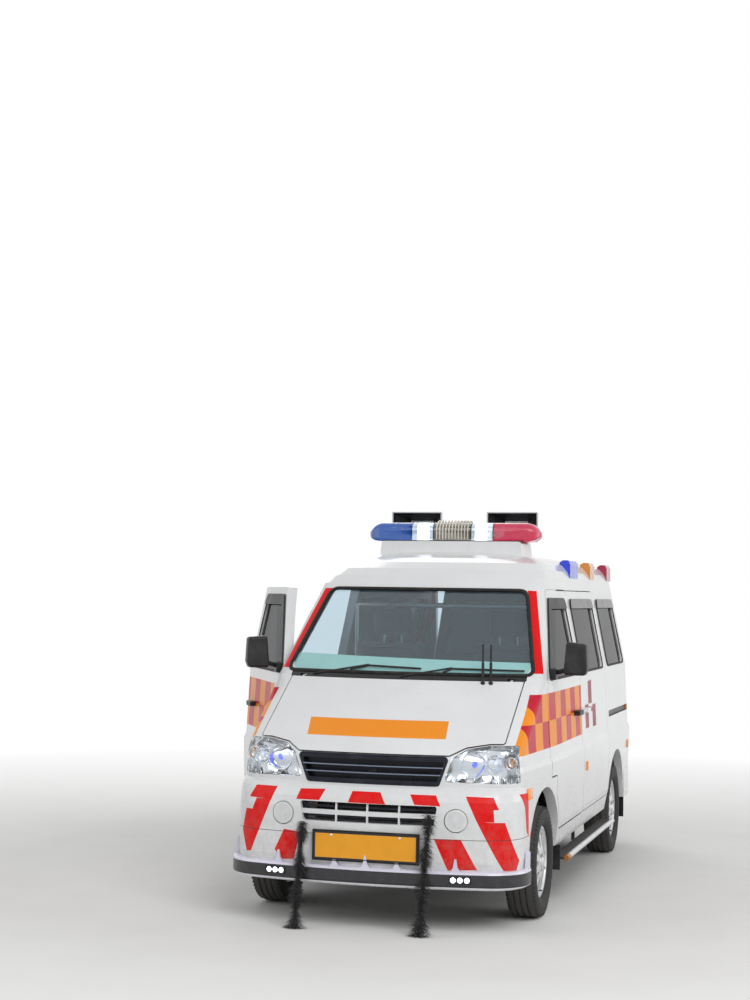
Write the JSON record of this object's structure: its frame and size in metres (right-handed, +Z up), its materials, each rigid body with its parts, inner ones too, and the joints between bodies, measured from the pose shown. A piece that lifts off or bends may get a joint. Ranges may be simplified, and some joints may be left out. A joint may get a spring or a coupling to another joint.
{
  "type": "ambulance",
  "caption": "Small high-roof ambulance van with swinging front doors, lifting tailgate and bonnet, steered front wheels and a roof light bar with horn speakers.",
  "frame": {"origin": "on the ground at mid length and mid width of the body", "axes": "+X to the vehicle left, the front faces -Y, +Z up"},
  "size_m": [2.0897, 3.7392, 2.0359],
  "materials": {
    "paint_white": "gloss white coachwork paint",
    "clear_glass": "clear safety glass",
    "alloy": "painted cast alloy",
    "tyre_rubber": "black tyre rubber",
    "black_plastic": "moulded black plastic",
    "chassis_black": "black underbody coating",
    "lamp_clear": "clear lamp lens",
    "lamp_red": "red lamp lens",
    "beacon_lens": "coloured beacon lens",
    "horn_grey": "grey painted horn bell",
    "seat_cloth": "woven seat cloth",
    "tube_steel": "bright steel tube",
    "cabin_grey": "grained cabin plastic",
    "floor_paint": "painted floor steel",
    "black_cord": "black cord tassel",
    "rubber_black": "black rubber"
  },
  "bodies": {
    "root": {"bench": "seat_cloth", "dashboard": "cabin_grey", "exhaust": "chassis_black", "fixed_side_glass": "clear_glass", "floor_pan": "floor_paint", "front_bumper": "paint_white", "front_guard": "paint_white", "front_panel": "paint_white", "front_seats": "seat_cloth", "front_suspension": "chassis_black", "grille": "black_plastic", "headlamps": "lamp_clear", "horn_speakers": "horn_grey", "light_bar_base": "paint_white", "light_bar_lens": "beacon_lens", "mud_flaps": "rubber_black", "partition": "tube_steel", "powertrain": "chassis_black", "rear_axle": "chassis_black", "rear_bumper": "paint_white", "roof": "paint_white", "roof_side_lamps": "beacon_lens", "side_left": "paint_white", "side_right": "paint_white", "side_steps": "black_plastic", "side_visors": "black_plastic", "sliding_door_left": "paint_white", "sliding_door_right": "paint_white", "steering_wheel": "cabin_grey", "stretcher": "tube_steel", "tail_lamps": "lamp_red", "tassels": "black_cord", "windscreen": "clear_glass", "wipers": "black_plastic"},
    "front_door_left": {"front_door_left": "paint_white", "door_glass_left": "clear_glass", "door_trim_left": "black_plastic"},
    "front_door_right": {"front_door_right": "paint_white", "door_glass_right": "clear_glass", "door_trim_right": "black_plastic"},
    "bonnet": {"bonnet": "paint_white", "bonnet_aerials": "black_plastic"},
    "tailgate": {"tailgate": "paint_white", "tailgate_glass": "clear_glass"},
    "knuckle_left": {"knuckle_left": "chassis_black"},
    "knuckle_right": {"knuckle_right": "chassis_black"},
    "wheel_front_left": {"tyre_front_left": "tyre_rubber", "rim_front_left": "alloy"},
    "wheel_front_right": {"tyre_front_right": "tyre_rubber", "rim_front_right": "alloy"},
    "wheel_rear_left": {"tyre_rear_left": "tyre_rubber", "rim_rear_left": "alloy"},
    "wheel_rear_right": {"tyre_rear_right": "tyre_rubber", "rim_rear_right": "alloy"}
  },
  "joints": [
    {"name": "front_door_left_hinge", "type": "hinge", "parent": "root", "child": "front_door_left", "pos_m": [0.704, -1.0105, 0.8], "axis": [0, 0, -1], "range_deg": [0, 65]},
    {"name": "front_door_right_hinge", "type": "hinge", "parent": "root", "child": "front_door_right", "pos_m": [-0.704, -1.0105, 0.8], "axis": [0, 0, 1], "range_deg": [-30, 35]},
    {"name": "bonnet_hinge", "type": "hinge", "parent": "root", "child": "bonnet", "pos_m": [0, -1.14012, 1.137], "axis": [-1, 0, 0], "range_deg": [0, 45]},
    {"name": "tailgate_hinge", "type": "hinge", "parent": "root", "child": "tailgate", "pos_m": [0, 1.776, 1.62], "axis": [1, 0, 0], "range_deg": [0, 80]},
    {"name": "steer_left", "type": "hinge", "parent": "root", "child": "knuckle_left", "pos_m": [0.5545, -1.1735, 0.268], "axis": [-0.1961, 0, 0.9806], "range_deg": [-35, 35]},
    {"name": "steer_right", "type": "hinge", "parent": "root", "child": "knuckle_right", "pos_m": [-0.5545, -1.1735, 0.268], "axis": [0.1961, 0, 0.9806], "range_deg": [-35, 35]},
    {"name": "wheel_front_left_spin", "type": "hinge", "parent": "knuckle_left", "child": "wheel_front_left", "pos_m": [0.6425, -1.1735, 0.268], "axis": [1, 0, 0], "continuous": true},
    {"name": "wheel_front_right_spin", "type": "hinge", "parent": "knuckle_right", "child": "wheel_front_right", "pos_m": [-0.6425, -1.1735, 0.268], "axis": [1, 0, 0], "continuous": true},
    {"name": "wheel_rear_left_spin", "type": "hinge", "parent": "root", "child": "wheel_rear_left", "pos_m": [0.6425, 1.1765, 0.268], "axis": [1, 0, 0], "continuous": true},
    {"name": "wheel_rear_right_spin", "type": "hinge", "parent": "root", "child": "wheel_rear_right", "pos_m": [-0.6425, 1.1765, 0.268], "axis": [1, 0, 0], "continuous": true}
  ],
  "couplings": [
    {"joint": "steer_right", "follows": "steer_left", "ratio": 1}
  ]
}
